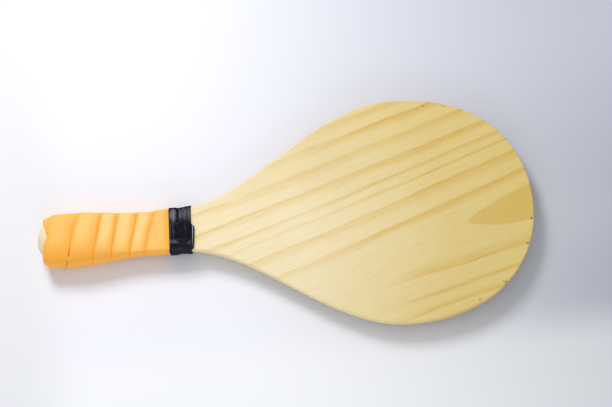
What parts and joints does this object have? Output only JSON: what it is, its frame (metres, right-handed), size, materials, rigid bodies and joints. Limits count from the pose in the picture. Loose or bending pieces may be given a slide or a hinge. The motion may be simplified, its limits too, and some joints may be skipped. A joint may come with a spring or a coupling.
{
  "type": "beach paddle",
  "caption": "Solid wooden beach paddle with a round blade, a foam strip wound round its handle and a tape collar at the neck.",
  "frame": {"origin": "under the middle of the paddle's outline, at the level of the flat under the handle that it rests on", "axes": "+X from the butt of the handle to the tip of the blade, +Z out of the blade's front face, +Y to the left of +X seen from the front"},
  "size_m": [0.425, 0.1982, 0.0273],
  "materials": {
    "pine_board": "sanded pine with softened arrises",
    "pine_cheek": "sanded pine",
    "brad_steel": "bright drawn wire",
    "grip_foam": "matt orange foam strip",
    "collar_vinyl": "glossy, slightly wrinkled black tape"
  },
  "bodies": {
    "root": {"blade_board": "pine_board", "front_handle_cheek": "pine_cheek", "rear_handle_cheek": "pine_cheek", "front_brad_near_butt": "brad_steel", "front_brad_near_neck": "brad_steel", "rear_brad_near_butt": "brad_steel", "rear_brad_near_neck": "brad_steel", "grip_strip": "grip_foam", "collar_tape": "collar_vinyl"}
  },
  "joints": []
}
